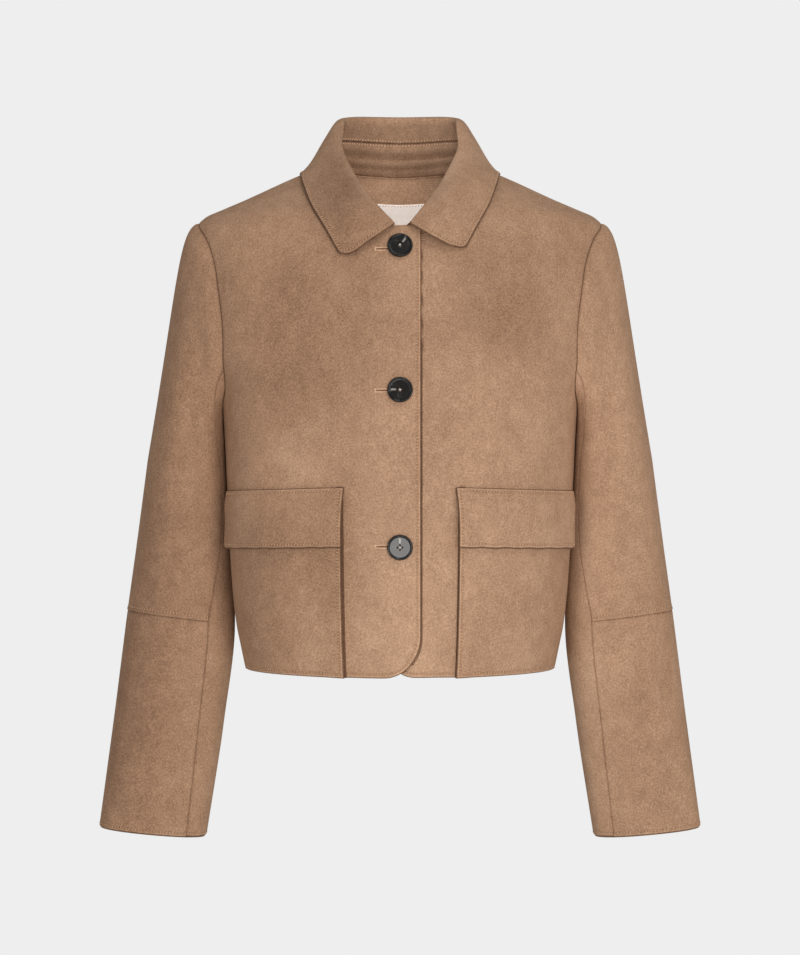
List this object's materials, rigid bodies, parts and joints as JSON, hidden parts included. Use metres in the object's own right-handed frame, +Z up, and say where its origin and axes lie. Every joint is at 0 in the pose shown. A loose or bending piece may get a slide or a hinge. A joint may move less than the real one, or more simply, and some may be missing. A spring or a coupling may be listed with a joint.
{
  "type": "suede jacket",
  "caption": "Cropped suede jacket with a shirt collar, a buttoned front, flapped patch pockets and long two-piece sleeves, filled out as if worn.",
  "frame": {"origin": "midway between the neck ends of the two shoulder seams, where the wearer's shoulders hold the jacket", "axes": "+Z up, +Y towards the jacket's back, so that its front faces -Y and the wearer's right side is at -X"},
  "size_m": [0.5984, 0.2414, 0.726],
  "materials": {
    "suede": "tan napped suede, matt",
    "button": "polished black",
    "label": "bare cream woven satin"
  },
  "bodies": {
    "root": {"front_right": "suede", "front_left": "suede", "back": "suede", "sleeve_right_upper": "suede", "sleeve_right_lower": "suede", "sleeve_right_under": "suede", "sleeve_left_upper": "suede", "sleeve_left_lower": "suede", "sleeve_left_under": "suede", "collar_stand": "suede", "collar_fall": "suede", "pocket_right": "suede", "pocket_left": "suede", "pocket_flap_right": "suede", "pocket_flap_left": "suede", "button_1": "button", "button_2": "button", "button_3": "button", "neck_label": "label"}
  },
  "joints": []
}
